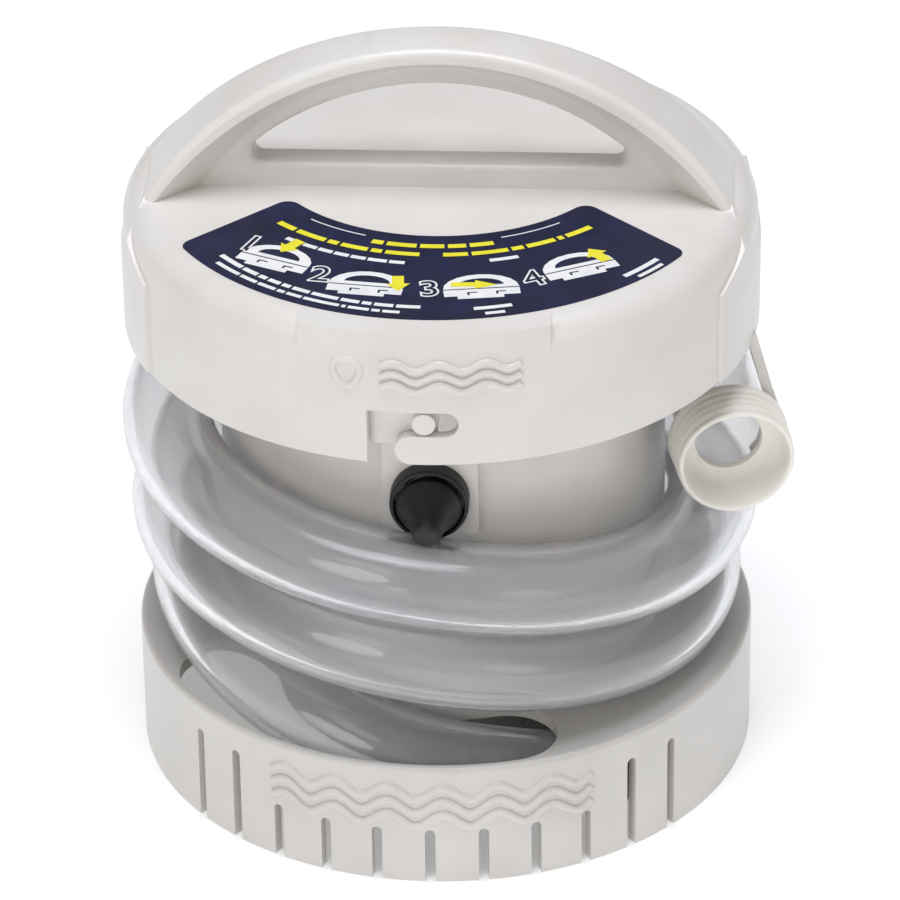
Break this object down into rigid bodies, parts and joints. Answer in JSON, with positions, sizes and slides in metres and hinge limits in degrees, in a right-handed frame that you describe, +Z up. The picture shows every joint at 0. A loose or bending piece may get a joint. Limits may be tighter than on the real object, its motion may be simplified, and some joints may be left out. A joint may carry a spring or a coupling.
{
  "type": "portable bilge pump",
  "caption": "Portable battery bilge pump: white drum with slotted strainer foot, bayonet cap with slab handle, booted toggle switch and a clear hose wound round the waist.",
  "frame": {"origin": "centre of the drum's axis in the plane of the strainer foot's lower rim", "axes": "+Z up along the drum's axis, -Y towards the switch (front), +X along the handle towards the hose hook"},
  "size_m": [0.1531, 0.146, 0.175],
  "materials": {
    "white_plastic": "satin moulded",
    "grey_plastic": "matte moulded",
    "natural_plastic": "satin moulded",
    "clear_vinyl": "clear gloss",
    "boot_rubber": "matte",
    "seal_rubber": "matte",
    "label": "gloss printed vinyl",
    "cell_jacket": "gloss wrapped",
    "steel": "plated",
    "brass": "satin",
    "magnet": "matte",
    "wire_red": "satin",
    "wire_black": "satin"
  },
  "bodies": {
    "pump": {"base_strainer": "white_plastic", "battery_housing": "white_plastic", "cap_seal": "seal_rubber", "battery_tray": "grey_plastic", "lower_contact_plate": "grey_plastic", "upper_contact_plate": "grey_plastic", "d_cell_1": "cell_jacket", "d_cell_2": "cell_jacket", "d_cell_3": "cell_jacket", "cell_springs": "steel", "lower_contacts": "brass", "upper_contacts": "brass", "switch_body": "grey_plastic", "switch_bushing": "steel", "switch_nut": "steel", "boot_collar": "boot_rubber", "motor_can": "steel", "motor_end_bell": "grey_plastic", "front_bearing": "brass", "rear_bearing": "brass", "motor_magnets": "magnet", "motor_terminals": "brass", "motor_retainer": "grey_plastic", "shaft_seal": "seal_rubber", "volute": "grey_plastic", "outlet_elbow": "grey_plastic", "inlet_plate": "grey_plastic", "base_screws": "steel", "hose_lead": "clear_vinyl", "hose_tail": "clear_vinyl", "hose_coil": "clear_vinyl", "hose_end_fitting": "natural_plastic", "pump_screws": "steel", "retainer_screws": "steel", "lead_red": "wire_red", "lead_black": "wire_black"},
    "cap": {"cap": "white_plastic", "cap_label": "label"},
    "toggle": {"boot_tip": "boot_rubber", "switch_lever": "steel"},
    "rotor": {"motor_shaft": "steel", "armature": "magnet", "commutator": "brass", "impeller": "grey_plastic"}
  },
  "joints": [
    {"name": "cap_twist", "type": "hinge", "parent": "pump", "child": "cap", "pos_m": [0, 0, 0.118], "axis": [0, 0, 1], "range_deg": [0, 7.4]},
    {"name": "switch_toggle", "type": "hinge", "parent": "pump", "child": "toggle", "pos_m": [0, -0.0546, 0.0895], "axis": [-1, 0, 0], "range_deg": [0, 18]},
    {"name": "rotor_spin", "type": "hinge", "parent": "pump", "child": "rotor", "pos_m": [0, 0, 0.02], "axis": [0, 0, 1], "continuous": true}
  ]
}
